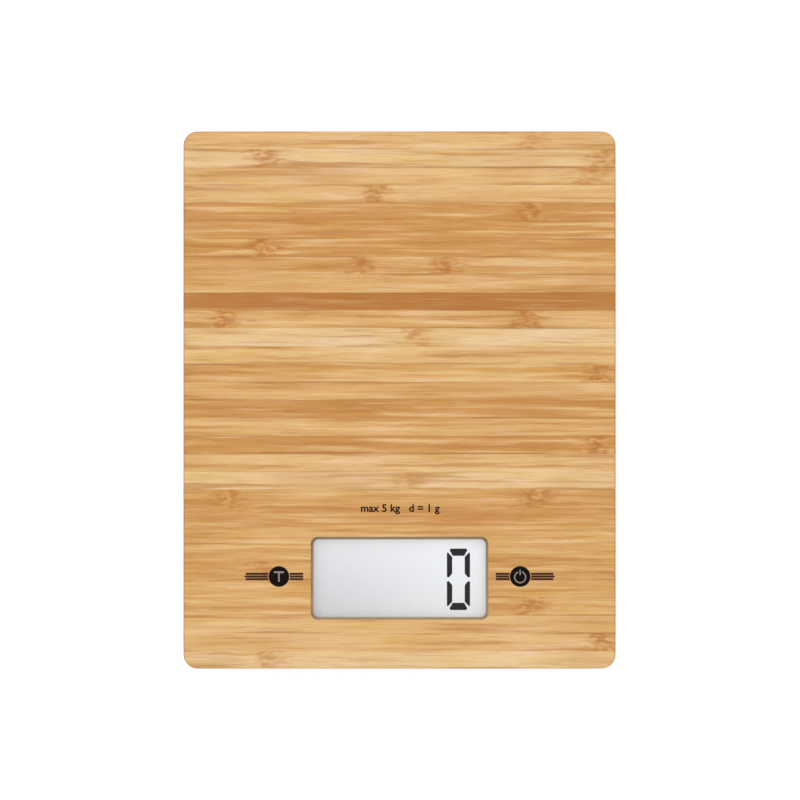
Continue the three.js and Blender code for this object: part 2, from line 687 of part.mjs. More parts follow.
// The door hangs on two pins along its rear edge, and its mesh's own origin is on their axis.
function addBatteryDoor() {
  const bottom = housingBottom + gap - hinge.z;
  const top = bottom + door.thickness;
  const front = door.front - hinge.y;
  const meet = Math.PI - Math.asin(top / hinge.barrel);
  const profile = new THREE.Shape();
  profile.moveTo(front, bottom + 0.3);
  profile.lineTo(front + 0.3, bottom);
  profile.lineTo(-2, bottom);
  profile.absarc(0, 0, hinge.barrel, THREE.MathUtils.degToRad(-110), meet);
  profile.lineTo(front, top);
  const panelBody = alongX(profile, door.width);
  const pinLength = door.width + 2 * (door.side + hinge.pinReach);
  const pins = cylinder(hinge.pin, pinLength, 12).rotateY(Math.PI / 2).translate(-pinLength / 2, 0, 0);
  const nib = box(doorNib.width, doorNib.reach, doorNib.height).translate(0, front, bottom + doorNib.z);
  const middle = coin.y - hinge.y;
  const ribs = [-doorRib.y, doorRib.y].map((y) =>
    box(doorRib.width, doorRib.thickness, doorRib.height).translate(0, middle + y, top - gap)
  );
  const grips = [];
  for (let i = 0; i < doorGrip.count; i += 1) {
    const groove = box(doorGrip.width, doorGrip.thickness, 2 * doorGrip.depth);
    grips.push(groove.translate(0, front + doorGrip.front + i * doorGrip.pitch, bottom - doorGrip.depth));
  }
  const geometry = cut(join(panelBody, pins, nib, ...ribs), ...grips);
  piece('battery_door', geometry, materials.darkPlastic).position.set(0, hinge.y, hinge.z);
}

function addScrews() {
  housingScrewSpots.forEach(([x, y], i) => {
    const screw = piece(`housing_screw_${i + 1}`, screwGeometry(housingScrew), materials.zinc);
    screw.position.set(x, y, boss.seat - gap);
    screw.rotation.x = Math.PI;
  });
  circuitScrewSpots.forEach(([x, y], i) => {
    const screw = piece(`circuit_screw_${i + 1}`, screwGeometry(circuitScrew), materials.zinc);
    screw.position.set(x, y, circuitTop);
  });
}

// ---- Places that several pieces share ----

const corners = [
  { name: 'front_left', x: -foot.x, y: -foot.y, turn: Math.PI },
  { name: 'front_right', x: foot.x, y: -foot.y, turn: Math.PI },
  { name: 'rear_left', x: -foot.x, y: foot.y, turn: 0 },
  { name: 'rear_right', x: foot.x, y: foot.y, turn: 0 }
];
const cornersOf = (x, y) => [[-x, -y], [x, -y], [-x, y], [x, y]];
const circuitScrewSpots = cornersOf(circuit.screwX, circuit.screwY)
  .map(([x, y]) => [display.x + x, display.y + y]);
const bezelPegSpots = cornersOf(bezel.width / 2 - bezel.wall / 2, bezel.length / 2 - bezel.wall / 2);

addPlatform();
addHousing();
addWindow();
addCircuitBoard();
addChips();
addTouchSprings();
addUnitSwitch();
corners.forEach(addFootStation);
corners.forEach(addLoadCellLead);
addBattery();
addBatteryLeads();
addBatteryDoor();
addScrews();

export default scale;
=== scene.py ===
"""A flat kitchen scale with a bamboo platform, seen from straight above on a plain pale floor.

Shapes are worked out in millimetres and written to the meshes in metres. Places come from the frame.
"""

import json
import math

import bpy
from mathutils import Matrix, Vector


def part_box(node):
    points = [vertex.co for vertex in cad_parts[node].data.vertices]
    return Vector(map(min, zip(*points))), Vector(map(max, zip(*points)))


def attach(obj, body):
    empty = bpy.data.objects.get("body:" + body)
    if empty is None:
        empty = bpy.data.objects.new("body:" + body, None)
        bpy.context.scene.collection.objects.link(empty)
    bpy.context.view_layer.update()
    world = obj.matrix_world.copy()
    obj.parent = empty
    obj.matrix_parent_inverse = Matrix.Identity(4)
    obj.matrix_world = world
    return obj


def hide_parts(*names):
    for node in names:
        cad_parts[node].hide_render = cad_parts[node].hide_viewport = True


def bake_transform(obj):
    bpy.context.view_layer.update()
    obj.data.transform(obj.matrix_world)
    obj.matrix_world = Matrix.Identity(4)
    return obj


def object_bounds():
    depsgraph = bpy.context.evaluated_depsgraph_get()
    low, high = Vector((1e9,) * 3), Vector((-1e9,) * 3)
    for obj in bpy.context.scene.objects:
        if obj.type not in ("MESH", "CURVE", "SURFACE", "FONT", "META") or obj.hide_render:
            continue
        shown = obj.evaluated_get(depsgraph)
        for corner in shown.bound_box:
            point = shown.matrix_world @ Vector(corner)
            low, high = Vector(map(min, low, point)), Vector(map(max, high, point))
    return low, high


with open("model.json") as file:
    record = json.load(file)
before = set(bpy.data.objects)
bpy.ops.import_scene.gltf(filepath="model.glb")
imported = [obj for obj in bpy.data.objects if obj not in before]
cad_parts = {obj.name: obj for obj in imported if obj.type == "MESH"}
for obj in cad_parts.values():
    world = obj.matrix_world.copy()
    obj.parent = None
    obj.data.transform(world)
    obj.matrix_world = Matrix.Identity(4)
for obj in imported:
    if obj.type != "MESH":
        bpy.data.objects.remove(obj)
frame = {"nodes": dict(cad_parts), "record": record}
cad_low, cad_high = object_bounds()

MM = 0.001
ROOT = "scale_body"
CORNERS = ("front_left", "front_right", "rear_left", "rear_right")

# ---- Driving dimensions, in millimetres ----

INK = 0.03  # the thickness of one printed layer
BOARD_CORNER = 6
BOARD_EDGE = 0.8
WINDOW = {"width": 75.7, "length": 35.5, "corner": 3, "edge": 0.3}
POCKET = {"width": 86, "length": 46, "corner": 3, "depth": 2.2}
LENS = {"width": 75.5, "length": 35.3, "corner": 2.9, "chamfer": 0.25, "flange_corner": 4, "flange": 0.8}
# Widths of the line round the window. The line is painted shade that stands in for the shaded gap and wall
# round the window, and its wider top side, at the rear, is painted shadow.
BORDER = {"side": 0.8, "top": 1.2, "bottom": 0.85, "corner": 2.2}
TOUCH = {"x": 51.6, "y": -75.5, "radius": 4.42, "well_radius": 5.5, "well_depth": 1.7}
STRIPE = {"thickness": 0.92, "pitch": 1.14, "start": 4.75, "inner_end": 10.4, "outer_end": 14.2, "tip": 15.1}
LETTER = {"width": 4.3, "height": 4.4, "bar": 0.72, "stem": 0.7}
POWER = {"radius": 2.35, "stroke": 0.55, "gap": 42, "drop": 0.3, "bar_bottom": 0.6, "bar_top": 2.9}
DIGIT = {"x": 25.3, "y": -77.0, "width": 9.9, "length": 26.4, "upright": 2.25, "level": 3.1, "waist": 0.82}
LEVEL_END = {"outer": 1.6, "point": 1.15, "point_drop": 0.75, "inner": 0.25}
UPRIGHT_END = {"outer": 1.2, "peak": 1.4, "peak_in": 0.3, "flat_in": 0.7, "inner": 0.5}
UPRIGHT_HEEL = {"outer": 0.35, "flat_in": 0.35, "flat_end": 0.85, "inner": 1.7}
TEXT = {"x": 0.2, "y": -46.4, "size": 4.6, "weight": 0.1}
SLATS = 30
HOUSING_SCREWS = 6
PILOT = {"radius": 1.5, "depth": 3.7}
FOOT = {"gap": 0.1, "flare": 0.45, "shoulder": 4.2, "stem": 3, "fillet": 0.4}
FOOT_BORE = {"radius": 1.25, "bottom": 2.4}
PAD = {"dish": 4.2, "dish_depth": 0.15, "edge": 0.7, "groove": 0.35}
BUTTON = {"radius": 4.4, "dish": 3.4, "neck": 4.7}
LOAD_CELL = {"corner": 1.5, "tongue": 5.5, "slot": 2, "bar": 6, "hole": 1.4, "steps": 24}
GAUGE = {"film": 0.15, "drop": (2.28, 1.9), "drop_height": 0.8, "steps": 10}
FINE_EDGE = 0.08
TINY = 0.02
FLOOR_RADIUS = 6000
CAMERA = {"x": 0.2, "view_width": 342.2, "lens": 100, "sensor": 36}

# ---- Mesh helpers ----


def rounded_ring(width, length, corner, z, centre=(0, 0), steps=10):
    """Points round a rounded rectangle, anticlockwise seen from above."""
    points = []
    for quarter, (side_x, side_y) in enumerate(((1, 1), (-1, 1), (-1, -1), (1, -1))):
        middle_x = centre[0] + side_x * (width / 2 - corner)
        middle_y = centre[1] + side_y * (length / 2 - corner)
        for i in range(steps + 1):
            angle = (quarter + i / steps) * math.pi / 2
            points.append((middle_x + corner * math.cos(angle), middle_y + corner * math.sin(angle), z))
    return points


def circle_ring(radius, z, centre=(0, 0), sides=48):
    """Points round a circle, anticlockwise seen from above."""
    turns = (2 * math.pi * i / sides for i in range(sides))
    return [(centre[0] + radius * math.cos(t), centre[1] + radius * math.sin(t), z) for t in turns]


def arc(start, end, steps=4):
    """(share inwards, share upwards) pairs along a quarter circle between two angles in degrees."""
    angles = (math.radians(start + (end - start) * i / steps) for i in range(steps + 1))
    return [(math.cos(a), math.sin(a)) for a in angles]


def skin(rings, closed=False):
    """Points and faces of a closed surface through rings of equal length, from the lowest ring upwards."""
    size = len(rings[0])
    points = [point for ring in rings for point in ring]
    count = len(rings)
    faces = []
    for level in range(count if closed else count - 1):
        low = level * size
        high = (level + 1) % count * size
        for i in range(size):
            after = (i + 1) % size
            faces.append((low + i, low + after, high + after, high + i))
    if not closed:
        faces.append(tuple(reversed(range(size))))
        faces.append(tuple(range((count - 1) * size, count * size)))
    return points, faces


def plate(outline, low, high):
    """Points and faces of a flat plate from an outline of (x, y) points, anticlockwise seen from above."""
    return skin([[(x, y, z) for x, y in outline] for z in (low, high)])


def bar_along_y(width, y_places, low, high, x):
    """Points and faces of a flat bar with a cross-section at each of the rising y places."""
    left = x - width / 2
    right = x + width / 2
    return skin([[(left, y, low), (left, y, high), (right, y, high), (right, y, low)] for y in y_places])


def together(*shapes):
    """Several closed shapes as the points and faces of one mesh."""
    points = []
    faces = []
    for shape_points, shape_faces in shapes:
        start = len(points)
        points += shape_points
        faces += [tuple(start + index for index in face) for face in shape_faces]
    return points, faces


def smooth(piece, angle=35):
    """Smooth shading that keeps every edge sharper than angle, in degrees."""
    piece.data.shade_smooth()
    piece.data.set_sharp_from_angle(angle=math.radians(angle))
    weighted = piece.modifiers.new("even_normals", "WEIGHTED_NORMAL")
    weighted.keep_sharp = True


def build(name, shape):
    """A mesh object from points in millimetres and faces."""
    points, faces = shape
    mesh = bpy.data.meshes.new(name)
    mesh.from_pydata([tuple(value * MM for value in point) for point in points], [], faces)
    mesh.validate()
    piece = bpy.data.objects.new(name, mesh)
    bpy.context.scene.collection.objects.link(piece)
    return piece


def settle(piece):
    """Applies the piece's modifiers to its mesh."""
    evaluated = piece.evaluated_get(bpy.context.evaluated_depsgraph_get())
    mesh = bpy.data.meshes.new_from_object(evaluated)
    piece.modifiers.clear()
    piece.data = mesh


def carve(piece, shapes):
    """Cuts closed shapes out of a piece."""
    cutters = [build(f"cutter_{i}", shape) for i, shape in enumerate(shapes)]
    for cutter in cutters:
        cut = piece.modifiers.new("cut", "BOOLEAN")
        cut.operation = "DIFFERENCE"
        cut.solver = "EXACT"
        cut.object = cutter
    settle(piece)
    for cutter in cutters:
        bpy.data.objects.remove(cutter)


def finish_piece(piece, material, body=ROOT, replaces=(), angle=35):
    """Shading, material, body, slot and CAD nodes of a piece. A piece given no body is left unattached here.
    """
    smooth(piece, angle)
    piece.data.materials.clear()
    piece.data.materials.append(material)
    if body:
        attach(piece, body)
    if replaces:
        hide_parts(*replaces)


def add(name, shape, material, body=ROOT, replaces=()):
    """Builds a piece and finishes it."""
    finish_piece(build(name, shape), material, body, replaces)


def extent(node):
    """Lowest and highest corner of a CAD node in millimetres."""
    low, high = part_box(node)
    return [value / MM for value in low], [value / MM for value in high]


def middle(node):
    """X and Y of the middle of a CAD node in millimetres."""
    low, high = extent(node)
    return (low[0] + high[0]) / 2, (low[1] + high[1]) / 2


# ---- Material helpers ----


def linear(red, green, blue):
    """A colour from 0 to 255, as a screen shows it, in the linear values that shaders use."""
    shares = (value / 255 for value in (red, green, blue))
    return tuple(s / 12.92 if s <= 0.04045 else ((s + 0.055) / 1.055) ** 2.4 for s in shares) + (1.0,)


class Graph:
    """A material's node tree, with a short call for each kind of node used here."""

    def __init__(self, name):
        self.material = bpy.data.materials.new(name)
        self.material.use_nodes = True
        self.tree = self.material.node_tree
        self.tree.nodes.clear()

    def node(self, kind, inputs=None, **settings):
        made = self.tree.nodes.new("ShaderNode" + kind)
        for key, value in settings.items():
            setattr(made, key, value)
        for key, value in (inputs or {}).items():
            if isinstance(value, bpy.types.NodeSocket):
                self.tree.links.new(value, made.inputs[key])
            else:
                made.inputs[key].default_value = value
        return made

    def math(self, operation, *values):
        return self.node("Math", dict(enumerate(values)), operation=operation).outputs[0]

    def mix(self, share, first, second, blend="MIX"):
        """Blends two colours."""
        inputs = {0: share, 6: first, 7: second}
        return self.node("Mix", inputs, data_type="RGBA", blend_type=blend).outputs[2]

    def range(self, value, low, high, to_low=0.0, to_high=1.0):
        """Maps a value between limits, with a soft start and end."""
        inputs = {0: value, 1: low, 2: high, 3: to_low, 4: to_high}
        return self.node("MapRange", inputs, interpolation_type="SMOOTHSTEP").outputs[0]

    def place(self):
        """X, Y and Z on the piece in millimetres, at rest."""
        coordinates = self.node("TexCoord").outputs["Object"]
        scaled = self.node("VectorMath", {0: coordinates, 3: 1 / MM}, operation="SCALE").outputs[0]
        return self.node("SeparateXYZ", {0: scaled}).outputs

    def vector(self, x, y, z):
        return self.node("CombineXYZ", {0: x, 1: y, 2: z}).outputs[0]

    def noise(self, vector, scale=1.0, detail=2.0):
        inputs = {"Vector": vector, "Scale": scale, "Detail": detail}
        return self.node("TexNoise", inputs).outputs[0]

    def bands(self, value, stops):
        """One colour for each band from 0 to 1. stops holds (start, colour) pairs."""
        made = self.node("ValToRGB", {0: value})
        made.color_ramp.interpolation = "CONSTANT"
        elements = made.color_ramp.elements
        while len(elements) < len(stops):
            elements.new(0.5)
        for element, (place, colour) in zip(elements, stops):
            element.position = place
            element.color = colour
        return made.outputs[0]

    def bump(self, height, distance, strength):
        """A normal for relief of the given depth in millimetres."""
        inputs = {"Height": height, "Distance": distance * MM, "Strength": strength}
        return self.node("Bump", inputs).outputs[0]

    def principled(self, colour, roughness, **others):
        """Ends the tree in a Principled shader. Underscores in other sockets' names stand for spaces."""
        inputs = {"Base Color": colour, "Roughness": roughness}
        inputs.update({key.replace("_", " "): value for key, value in others.items()})
        return self.end(self.node("BsdfPrincipled", inputs).outputs[0])

    def end(self, shader):
        self.node("OutputMaterial", {"Surface": shader})
        return self.material


# ---- Bamboo ----

# Screen colours of the kinds of slat, and the kind of each slat from the rear of the board to the front.
TONES = {
    "pale": (235, 201, 156),
    "light": (229, 187, 135),
    "mid": (224, 177, 119),
    "warm": (217, 166, 104),
    "deep": (209, 152, 88),
    "dark": (184, 119, 54),
}
SLAT_TONES = (
    "light pale light light deep deep deep warm mid dark mid pale light warm mid deep "
    "mid deep light pale warm deep mid warm warm warm mid light light pale"
).split()

# Factors on the linear red, green and blue of the wood.
PINK_SHIFT = (1.1, 1.14, 1.6, 1.0)
YELLOW_SHIFT = (0.9, 0.84, 0.5, 1.0)
VARNISH = (0.965, 0.935, 0.8, 1.0)

# Knots as slat: [(place along the slat in millimetres, strength from 0 to 1), ...], at most two a slat.
KNOTS = {
    0: [(57, 0.5)], 1: [(-58, 0.7), (88, 0.7)], 2: [(83, 0.5)], 3: [(-10, 0.7)], 4: [(56, 0.8)],
    6: [(-58, 1.0)], 7: [(-16, 0.8), (20, 0.3)], 10: [(-75, 0.9), (55, 0.7)], 11: [(6, 0.6)],
    13: [(84, 0.8)], 17: [(84, 0.8)], 19: [(4, 0.4)], 20: [(-73, 0.7), (58, 0.7)], 24: [(-58, 0.6)],
    26: [(56, 0.8)], 28: [(87, 0.8)], 29: [(-55, 0.5)],
}
KNOT_REACH = 100  # knots are stored as a share of the way from -100 to 100 mm
FAR_AWAY = -99


def slat_values(slat):
    """A slat's two knots as a colour: the place of each as a share of its reach, and how strong they are."""
    knots = KNOTS.get(slat, []) + [(FAR_AWAY, 0), (FAR_AWAY, 0)]
    places = [(x + KNOT_REACH) / (2 * KNOT_REACH) for x, _ in knots[:2]]
    return (*places, max(strength for _, strength in knots[:2]), 1.0)


def bamboo_material():
    g = Graph("bamboo")
    x, y, z = g.place()
    rear = cad_high.y / MM
    pitch = (cad_high.y - cad_low.y) / MM / SLATS

    # Which slat this is, with borders that wander a little, and how far across it.
    wander = g.noise(g.vector(g.math("MULTIPLY", x, 0.018), g.math("MULTIPLY", y, 0.12), 4.0), detail=1)
    wander = g.math("MULTIPLY", g.math("SUBTRACT", wander, 0.5), 0.09)
    across = g.math("DIVIDE", g.math("SUBTRACT", rear, y), pitch)
    across = g.math("MINIMUM", g.math("MAXIMUM", g.math("ADD", across, wander), 0.001), SLATS - 0.001)
    slat = g.math("FLOOR", across)
    inside = g.math("FRACT", across)
    slat_share = g.math("DIVIDE", g.math("ADD", slat, 0.5), SLATS)
    stops = [(i / SLATS, linear(*TONES[tone])) for i, tone in enumerate(SLAT_TONES)]
    tone = g.bands(slat_share, stops)
    stops = [(i / SLATS, slat_values(i)) for i in range(SLATS)]
    knots = g.node("SeparateColor", {0: g.bands(slat_share, stops)}).outputs
    shift = g.math("MULTIPLY", slat, 7.31)

    # Two knots at most on each slat, with ragged ends.
    ragged = g.noise(g.vector(g.math("MULTIPLY", x, 0.08), g.math("MULTIPLY", y, 0.5), shift), detail=3)
    ragged = g.math("MULTIPLY", g.math("SUBTRACT", ragged, 0.5), 18)
    distances = []
    for share in (knots[0], knots[1]):
        place = g.math("MULTIPLY_ADD", share, 2 * KNOT_REACH, -KNOT_REACH)
        distances.append(g.math("ABSOLUTE", g.math("ADD", g.math("SUBTRACT", x, place), ragged)))
    distance = g.math("MINIMUM", *distances)
    knot = g.math("MULTIPLY", g.range(distance, 1.0, 9.0, 1.0, 0.0), knots[2])
    near_knot = g.math("MULTIPLY", g.range(distance, 3.0, 26.0, 1.0, 0.0), knots[2])

    # Fibres run along X, keep to their own slat and bend round a knot.
    bend = g.noise(g.vector(g.math("MULTIPLY", x, 0.07), g.math("MULTIPLY", y, 0.25), shift), detail=3)
    bend = g.math("MULTIPLY", g.math("SUBTRACT", bend, 0.5), g.math("MULTIPLY_ADD", near_knot, 3.5, 1.1))
    depth = g.math("ADD", z, shift)
    fibre_y = g.math("ADD", y, bend)

    def fibre(length, width, detail=2.0):
        """Streaks about length by width in millimetres."""
        along = g.math("DIVIDE", x, length)
        sideways = g.math("DIVIDE", fibre_y, width)
        deep = g.math("DIVIDE", depth, width)
        return g.noise(g.vector(along, sideways, deep), detail=detail)

    broad = fibre(64, 2.3)
    medium = fibre(26, 0.85)
    fine = fibre(9, 0.3)
    pores = fibre(6, 0.18, detail=1)
    colour = g.mix(g.range(broad, 0.5, 0.7, 0.0, 0.72), tone, linear(238, 203, 152))
    colour = g.mix(g.range(broad, 0.5, 0.3, 0.0, 0.72), colour, linear(192, 132, 70))
    colour = g.mix(g.range(medium, 0.55, 0.75, 0.0, 0.4), colour, linear(240, 206, 155))
    colour = g.mix(g.range(medium, 0.46, 0.24, 0.0, 0.33), colour, linear(176, 116, 56))
    colour = g.mix(g.range(fine, 0.5, 0.28, 0.0, 0.2), colour, linear(168, 108, 52))
    colour = g.mix(g.range(fine, 0.54, 0.74, 0.0, 0.22), colour, linear(243, 212, 164))
    colour = g.mix(g.range(pores, 0.42, 0.24, 0.0, 0.2), colour, linear(150, 94, 44))

    # The fibres of the darkest slat show less.
    darkest = g.math("COMPARE", slat, SLAT_TONES.index("dark"), 0.5)
    colour = g.mix(g.math("MULTIPLY", darkest, 0.6), colour, tone)

    # Wide areas lean towards pink, towards yellow or towards a deeper tone.
    patch = g.noise(g.vector(g.math("DIVIDE", x, 30), g.math("DIVIDE", y, 5), shift), detail=2)
    colour = g.mix(g.range(patch, 0.52, 0.72, 0.0, 0.55), colour, PINK_SHIFT, "MULTIPLY")
    colour = g.mix(g.range(patch, 0.48, 0.28, 0.0, 0.55), colour, YELLOW_SHIFT, "MULTIPLY")
    depth_patch = g.noise(g.vector(g.math("DIVIDE", x, 62), shift, 2.0), detail=1)
    colour = g.mix(g.range(depth_patch, 0.5, 0.3, 0.0, 0.3), colour, linear(198, 140, 78))

    # The glued borders: now and then a dark line that fades along the slat.
    border = g.range(g.math("MINIMUM", inside, g.math("SUBTRACT", 1.0, inside)), 0.075, 0.0)
    along = g.noise(g.vector(g.math("DIVIDE", x, 60), g.math("MULTIPLY", g.math("ROUND", across), 3.7), 9.0))
    border = g.math("MULTIPLY", border, g.range(along, 0.42, 0.68))
    colour = g.mix(g.math("MULTIPLY", border, 0.62), colour, linear(146, 92, 44))

    # Knots: an orange-brown stain with soft darker mottling, and streaks that run out of it along the slat.
    mottle = g.noise(g.vector(g.math("DIVIDE", x, 3.6), g.math("DIVIDE", fibre_y, 1.5), shift))
    streak = g.math("MULTIPLY", g.range(fibre(14, 0.9), 0.54, 0.36), near_knot)
    stain = g.math("MULTIPLY", g.range(mottle, 0.62, 0.36), knot)
    flecks = g.math("MULTIPLY", g.range(mottle, 0.56, 0.7), knot)
    colour = g.mix(g.math("MULTIPLY", knot, 0.5), colour, linear(210, 148, 72))
    colour = g.mix(g.math("MULTIPLY", streak, 0.4), colour, linear(186, 124, 62))
    colour = g.mix(g.math("MULTIPLY", stain, 0.75), colour, linear(172, 98, 26))
    colour = g.mix(g.math("MULTIPLY", flecks, 0.4), colour, linear(238, 200, 146))

    # End grain on the two short sides and their rounded edges: darker, with the dots of cut fibres.
    normal = g.node("SeparateXYZ", {0: g.node("TexCoord").outputs["Normal"]}).outputs
    # The darkening is partly the end grain's own colour and partly painted shade, which draws a dark line
    # along the rounded left and right edges.
    end = g.range(g.math("ABSOLUTE", normal[0]), 0.2, 0.6)
    dots = g.noise(g.vector(shift, g.math("DIVIDE", y, 0.42), g.math("DIVIDE", z, 0.42)), detail=1)
    end_grain_and_shade = g.mix(0.55, tone, linear(168, 118, 70))
    end_grain_and_shade = g.mix(g.range(dots, 0.5, 0.68, 0.0, 0.6), end_grain_and_shade, linear(112, 72, 38))
    colour = g.mix(g.math("MULTIPLY", end, 0.9), colour, end_grain_and_shade)

    # A clear varnish warms the wood all over.
    colour = g.mix(1.0, colour, VARNISH, "MULTIPLY")

    roughness = g.math("MULTIPLY_ADD", fine, 0.16, 0.38)
    height = g.math("ADD", g.math("MULTIPLY", medium, 0.5), g.math("MULTIPLY", fine, 0.5))
    height = g.math("SUBTRACT", height, g.math("MULTIPLY", border, 0.4))
    return g.principled(colour, roughness, Normal=g.bump(height, 0.03, 0.4), Specular_IOR_Level=0.3)


# ---- Other materials ----


def moulded_material(name, colour, roughness, grain=0.35, relief=0.02, wear=1.3):
    """Moulded plastic or rubber: a fine eroded texture with paler flecks in it, and slightly uneven gloss.
    """
    g = Graph(name)
    x, y, z = g.place()
    place = g.vector(x, y, z)
    texture = g.noise(place, scale=1 / grain, detail=2)
    cloud = g.noise(place, scale=1 / 28, detail=2)
    paler = tuple(min(1.0, value * wear) for value in colour[:3]) + (1.0,)
    darker = tuple(value * 0.8 for value in colour[:3]) + (1.0,)
    tint = g.mix(g.range(cloud, 0.35, 0.65), darker, colour)
    tint = g.mix(g.range(texture, 0.55, 0.75, 0.0, 0.5), tint, paler)
    shine = g.math("MULTIPLY_ADD", cloud, 0.16, roughness - 0.08)
    return g.principled(tint, shine, Normal=g.bump(texture, relief, 0.6))


def metal_material(name, colour, roughness, brushed=(0.2, 6, 6)):
    """Bare metal with fine scratches, longer one way than the others."""
    g = Graph(name)
    x, y, z = g.place()
    scratch = g.noise(g.vector(*(g.math("MULTIPLY", v, s) for v, s in zip((x, y, z), brushed))), detail=3)
    cloud = g.noise(g.vector(x, y, z), scale=0.15, detail=2)
    darker = tuple(value * 0.7 for value in colour[:3]) + (1.0,)
    tint = g.mix(g.range(cloud, 0.3, 0.7), darker, colour)
    shine = g.math("MULTIPLY_ADD", scratch, 0.2, roughness - 0.1)
    return g.principled(tint, shine, Metallic=1.0, Normal=g.bump(scratch, 0.004, 0.5))


def ink_material(name, colour, roughness=0.6, unevenness=0.7):
    """Screen print, slightly uneven where the grain shows through it."""
    g = Graph(name)
    x, y, z = g.place()
    weave = g.noise(g.vector(g.math("DIVIDE", x, 3), g.math("DIVIDE", y, 0.3), z), detail=2)
    paler = tuple(min(1.0, value * 1.5 + 0.003) for value in colour[:3]) + (1.0,)
    tint = g.mix(g.range(weave, 0.4, 0.7, 0.0, unevenness), colour, paler)
    return g.principled(tint, roughness, Normal=g.bump(weave, 0.006, 0.5), Specular_IOR_Level=0.08)


def window_shade_material():
    """The line round the window: grey-brown painted shade that stands in for the shaded wall and gap round
    it, darker towards the rear as a painted shadow and paler towards the front.
    """
    g = Graph("border_painted_shade")
    x, y, z = g.place()
    low, high = extent("window_lens")
    rear = g.range(y, low[1], high[1])
    speck = g.noise(g.vector(x, y, z), scale=2, detail=2)
    # Painted shadow: the line is darker towards the rear, where the rear wall of the window would shade it.
    tint = g.mix(rear, linear(206, 183, 146), linear(176, 156, 122))
    tint = g.mix(g.range(speck, 0.4, 0.7, 0.0, 0.2), tint, linear(140, 122, 96))
    return g.principled(tint, 0.6, Specular_IOR_Level=0.08)


def lens_material():
    """Clear acrylic: what lies under it shows through, with a gloss that grows at a glancing angle."""
    g = Graph("clear_lens")
    x, y, z = g.place()
    haze = g.noise(g.vector(x, y, z), scale=0.05, detail=2)
    through = g.node("BsdfTransparent", {0: (0.99, 0.99, 0.99, 1.0)}).outputs[0]
    roughness = g.math("MULTIPLY_ADD", haze, 0.03, 0.02)
    gloss = g.node("BsdfGlossy", {"Color": (1, 1, 1, 1), "Roughness": roughness}).outputs[0]
    outside = g.math("SUBTRACT", 1.0, g.node("NewGeometry").outputs["Backfacing"])
    share = g.math("MULTIPLY", g.node("Fresnel", {"IOR": 1.36}).outputs[0], outside)
    return g.end(g.node("MixShader", {0: share, 1: through, 2: gloss}).outputs[0])


def display_material():
    """The liquid crystal panel: cool white, with painted light that makes it brighter at the rear and on the
    right, and a faint painted glow.
    """
    g = Graph("display_glass")
    x, y, z = g.place()
    low, high = extent("lcd_glass")
    right = g.range(x, low[0], high[0])
    rear = g.range(y, low[1], high[1])
    # Painted light and shade: the panel is drawn brighter towards the rear and the right, and darker at the
    # front left.
    painted_front_shade = g.mix(right, linear(207, 207, 211), linear(230, 232, 233))
    painted_rear_light = g.mix(right, linear(226, 228, 231), linear(240, 242, 246))
    colour = g.mix(rear, painted_front_shade, painted_rear_light)
    speck = g.noise(g.vector(x, y, z), scale=4, detail=2)
    colour = g.mix(g.range(speck, 0.45, 0.7, 0.0, 0.06), colour, linear(190, 196, 200))
    relief = g.bump(speck, 0.003, 0.3)
    # The emission is a painted glow that makes the panel brighter than its lighting does.
    return g.principled(colour, 0.3, Normal=relief, Emission_Color=colour, Emission_Strength=0.07)


def circuit_material():
    """Green solder mask with paler tracks under it."""
    g = Graph("circuit_board")
    x, y, z = g.place()
    place = g.vector(g.math("DIVIDE", x, 6), g.math("DIVIDE", y, 6), 0.0)
    tracks = g.node("TexBrick", {
        "Vector": place, "Scale": 4.0, "Mortar Size": 0.03, "Mortar": (0.03, 0.19, 0.08, 1),
        "Color1": (0.010, 0.080, 0.030, 1), "Color2": (0.012, 0.095, 0.036, 1),
    }).outputs[0]
    weave = g.noise(g.vector(x, y, z), scale=3, detail=2)
    tint = g.mix(g.range(weave, 0.4, 0.7, 0.0, 0.25), tracks, linear(20, 62, 36))
    return g.principled(tint, 0.35, Normal=g.bump(weave, 0.01, 0.4))


